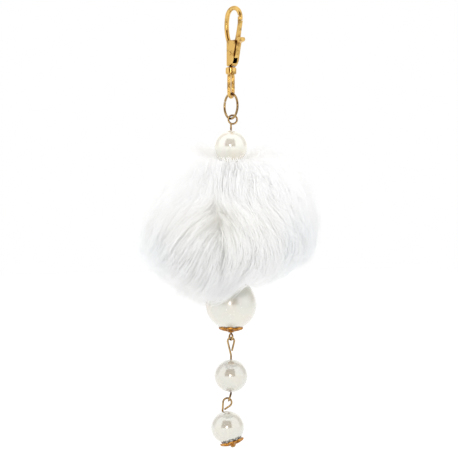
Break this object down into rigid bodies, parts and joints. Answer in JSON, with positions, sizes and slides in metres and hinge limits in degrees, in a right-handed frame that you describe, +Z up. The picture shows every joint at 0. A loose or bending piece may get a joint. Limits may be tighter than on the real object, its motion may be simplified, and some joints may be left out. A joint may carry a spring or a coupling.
{
  "type": "bag charm",
  "caption": "Plush ball bag charm with pearl beads and pierced bead caps, hanging from a swivel trigger snap.",
  "frame": {"origin": "inside surface of the hook's arch straight above the swivel, where the charm hangs", "axes": "+Z up, X in the hook's plane towards the gate, Y through the hook"},
  "size_m": [0.075, 0.075, 0.1898],
  "materials": {
    "gold_metal": "polished gold plating",
    "gold_wire": "polished gold plating",
    "gold_filigree": "pressed, gold plated",
    "spring_steel": "plain",
    "pearl": "pearl lustre coat",
    "plush_fur": "long soft pile",
    "knit_backing": "knitted",
    "fibre_fill": "loose fibre",
    "thread": "twisted thread"
  },
  "bodies": {
    "clasp": {"clasp_hook_body": "gold_metal", "clasp_gate_pin": "gold_metal", "clasp_gate_spring": "spring_steel"},
    "gate": {"clasp_gate": "gold_metal"},
    "swivel": {"swivel_shackle": "gold_metal"},
    "ring": {"jump_ring": "gold_wire"},
    "main_pin": {"main_eye_pin": "gold_wire"},
    "top_pearl": {"bead_top": "pearl"},
    "pompom": {"pompom_backing": "knit_backing", "pompom_stuffing": "fibre_fill", "pompom_fur": "plush_fur", "pompom_thread_top": "thread", "pompom_thread_bottom": "thread"},
    "large_pearl": {"bead_large": "pearl"},
    "large_cap": {"cap_large": "gold_filigree"},
    "middle_pin": {"middle_eye_pin": "gold_wire"},
    "middle_pearl": {"bead_middle": "pearl"},
    "end_pin": {"end_head_pin": "gold_wire"},
    "end_pearl": {"bead_end": "pearl"},
    "end_cap": {"cap_end": "gold_filigree"}
  },
  "joints": [
    {"name": "gate_hinge", "type": "hinge", "parent": "clasp", "child": "gate", "pos_m": [0.0015, 0, -0.018], "axis": [0, -1, 0], "range_deg": [0, 20], "stiffness_Nm_per_rad": 0.02, "springref_deg": -17.19, "deforming": ["clasp_gate_spring"]},
    {"name": "swivel_turn", "type": "hinge", "parent": "clasp", "child": "swivel", "pos_m": [0, 0, -0.0238], "axis": [0, 0, 1], "continuous": true},
    {"name": "ring_swing", "type": "hinge", "parent": "swivel", "child": "ring", "pos_m": [0, 0, -0.03655], "axis": [-0.1736, 0.9848, 0], "range_deg": [-40, 40]},
    {"name": "main_swing", "type": "hinge", "parent": "ring", "child": "main_pin", "pos_m": [0, 0, -0.04585], "axis": [0.9877, -0.1564, 0], "range_deg": [-50, 50]},
    {"name": "top_pearl_turn", "type": "hinge", "parent": "main_pin", "child": "top_pearl", "pos_m": [0, 0, -0.05775], "axis": [0, 0, 1], "continuous": true},
    {"name": "pompom_turn", "type": "hinge", "parent": "main_pin", "child": "pompom", "pos_m": [0, 0, -0.09075], "axis": [0, 0, 1], "continuous": true},
    {"name": "large_pearl_turn", "type": "hinge", "parent": "main_pin", "child": "large_pearl", "pos_m": [0, 0, -0.12555], "axis": [0, 0, 1], "continuous": true},
    {"name": "large_cap_turn", "type": "hinge", "parent": "main_pin", "child": "large_cap", "pos_m": [0, 0, -0.137], "axis": [0, 0, 1], "continuous": true},
    {"name": "middle_swing", "type": "hinge", "parent": "main_pin", "child": "middle_pin", "pos_m": [0, 0, -0.14095], "axis": [0.9903, -0.1392, 0], "range_deg": [-20, 20]},
    {"name": "middle_pearl_turn", "type": "hinge", "parent": "middle_pin", "child": "middle_pearl", "pos_m": [0, 0, -0.15635], "axis": [0, 0, 1], "continuous": true},
    {"name": "end_swing", "type": "hinge", "parent": "middle_pin", "child": "end_pin", "pos_m": [-0.00062, -0.00074, -0.16711], "axis": [-0.766, 0.6428, 0], "range_deg": [-40, 40]},
    {"name": "end_pearl_turn", "type": "hinge", "parent": "end_pin", "child": "end_pearl", "pos_m": [-0.00094, -0.00112, -0.17851], "axis": [-0.1879, -0.224, 0.9563], "continuous": true},
    {"name": "end_cap_turn", "type": "hinge", "parent": "end_pin", "child": "end_cap", "pos_m": [-0.00094, -0.00112, -0.17851], "axis": [-0.1879, -0.224, 0.9563], "continuous": true}
  ]
}
